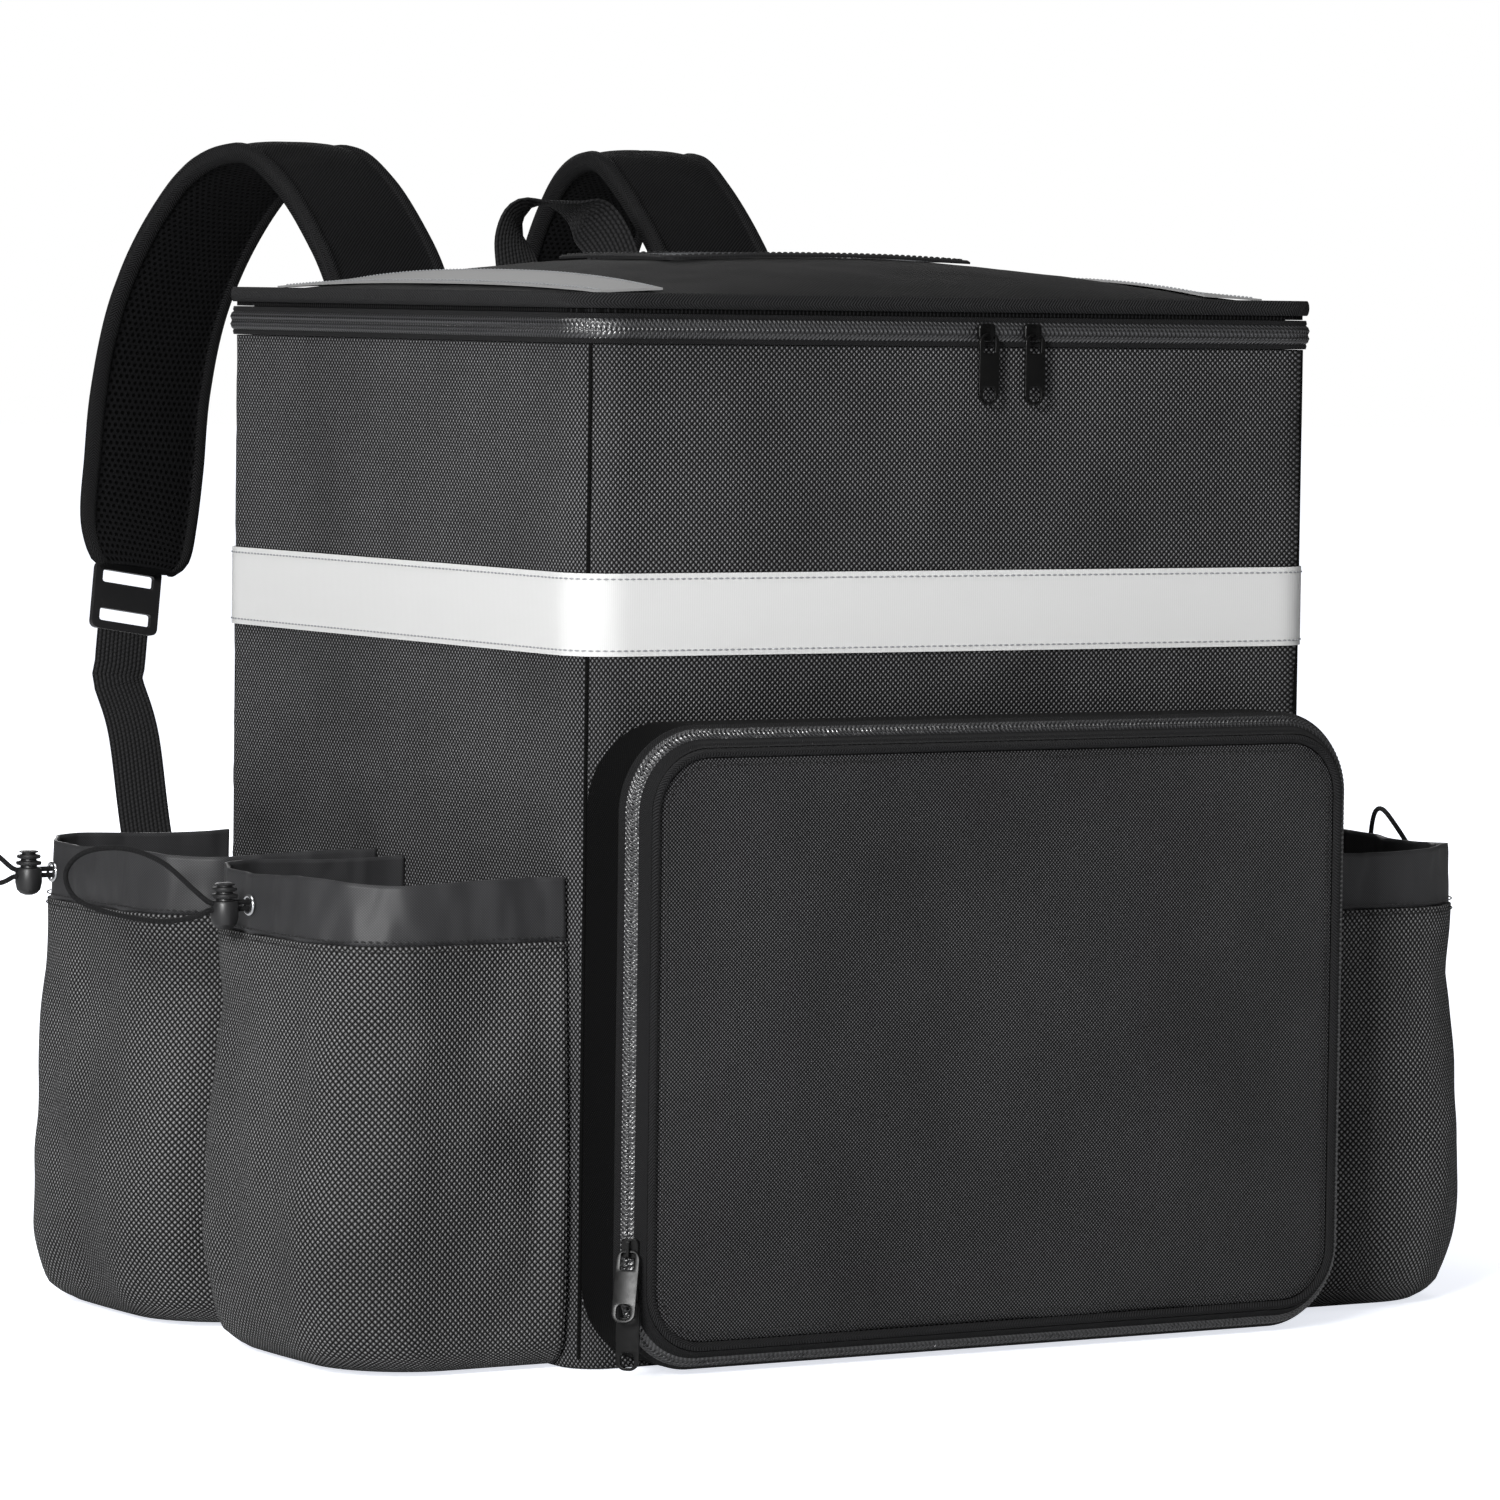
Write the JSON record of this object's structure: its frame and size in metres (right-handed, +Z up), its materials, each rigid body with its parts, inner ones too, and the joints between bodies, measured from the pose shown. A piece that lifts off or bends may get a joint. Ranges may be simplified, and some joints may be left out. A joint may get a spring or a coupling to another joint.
{
  "type": "delivery backpack",
  "caption": "Boxy insulated delivery backpack with zipped lid, zipped front pocket, side cup pockets with drawstrings, reflective bands, padded shoulder straps and a grab handle.",
  "frame": {"origin": "centre of the main box's base, on the floor it stands on", "axes": "+Z up, the front pocket faces -Y, +X is to the right seen from the front"},
  "size_m": [0.7632, 0.669, 0.5782],
  "materials": {
    "oxford_cloth": "coarse plain weave, matte",
    "twill_cloth": "fine twill, matte",
    "smooth_nylon": "smooth, soft sheen",
    "reflective_tape": "silver, soft sheen",
    "zip_nylon": "coil on woven tape",
    "black_metal": "gloss black",
    "nickel": "polished nickel",
    "clear_vinyl": "clear, glossy",
    "webbing": "ribbed webbing, matte",
    "hard_plastic": "moulded, satin",
    "elastic_cord": "braided elastic"
  },
  "bodies": {
    "bag": {"body_shell": "oxford_cloth", "lid": "oxford_cloth", "cup_pocket_left_front": "oxford_cloth", "cup_pocket_left_rear": "oxford_cloth", "cup_pocket_right_front": "oxford_cloth", "cup_pocket_right_rear": "oxford_cloth", "lid_welt": "twill_cloth", "lid_hinge": "twill_cloth", "window_binding": "twill_cloth", "front_pocket_gusset": "twill_cloth", "front_pocket_piping": "twill_cloth", "front_pocket_panel": "twill_cloth", "shoulder_strap_left": "twill_cloth", "shoulder_strap_right": "twill_cloth", "pocket_collar_left_front": "smooth_nylon", "pocket_collar_left_rear": "smooth_nylon", "pocket_collar_right_front": "smooth_nylon", "pocket_collar_right_rear": "smooth_nylon", "reflective_tape_left": "reflective_tape", "reflective_tape_front": "reflective_tape", "reflective_tape_right": "reflective_tape", "lid_tape_left": "reflective_tape", "lid_tape_right": "reflective_tape", "main_zipper": "zip_nylon", "front_pocket_zipper": "zip_nylon", "main_slider_left": "black_metal", "main_slider_right": "black_metal", "pocket_slider_upper": "black_metal", "pocket_slider_lower": "black_metal", "eyelet_left_front": "nickel", "eyelet_left_rear": "nickel", "eyelet_right_front": "nickel", "eyelet_right_rear": "nickel", "window_sheet": "clear_vinyl", "grab_handle": "webbing", "strap_tab_left": "webbing", "strap_tab_right": "webbing", "lower_webbing_left": "webbing", "lower_webbing_right": "webbing", "ladder_lock_left": "hard_plastic", "ladder_lock_right": "hard_plastic", "cord_lock_left_front": "hard_plastic", "cord_lock_left_rear": "hard_plastic", "cord_lock_right_front": "hard_plastic", "cord_lock_right_rear": "hard_plastic", "drawcord_left_front": "elastic_cord", "drawcord_left_rear": "elastic_cord", "drawcord_right_front": "elastic_cord", "drawcord_right_rear": "elastic_cord"},
    "main_tab_left": {"main_tab_left": "black_metal"},
    "main_tab_right": {"main_tab_right": "black_metal"},
    "pocket_tab_upper": {"pocket_tab_upper": "black_metal"},
    "pocket_tab_lower": {"pocket_tab_lower": "black_metal"}
  },
  "joints": [
    {"name": "main_tab_left_swing", "type": "hinge", "parent": "bag", "child": "main_tab_left", "pos_m": [0.0095, -0.19018, 0.48429], "axis": [-1, 0, 0], "range_deg": [0, 150]},
    {"name": "main_tab_right_swing", "type": "hinge", "parent": "bag", "child": "main_tab_right", "pos_m": [0.0357, -0.19018, 0.48429], "axis": [-1, 0, 0], "range_deg": [0, 150]},
    {"name": "pocket_tab_upper_swing", "type": "hinge", "parent": "bag", "child": "pocket_tab_upper", "pos_m": [-0.20242, -0.22281, 0.06129], "axis": [-0.7071, 0.7071, 0], "range_deg": [0, 130]},
    {"name": "pocket_tab_lower_swing", "type": "hinge", "parent": "bag", "child": "pocket_tab_lower", "pos_m": [-0.20242, -0.22281, 0.03929], "axis": [-0.7071, 0.7071, 0], "range_deg": [0, 34]}
  ]
}
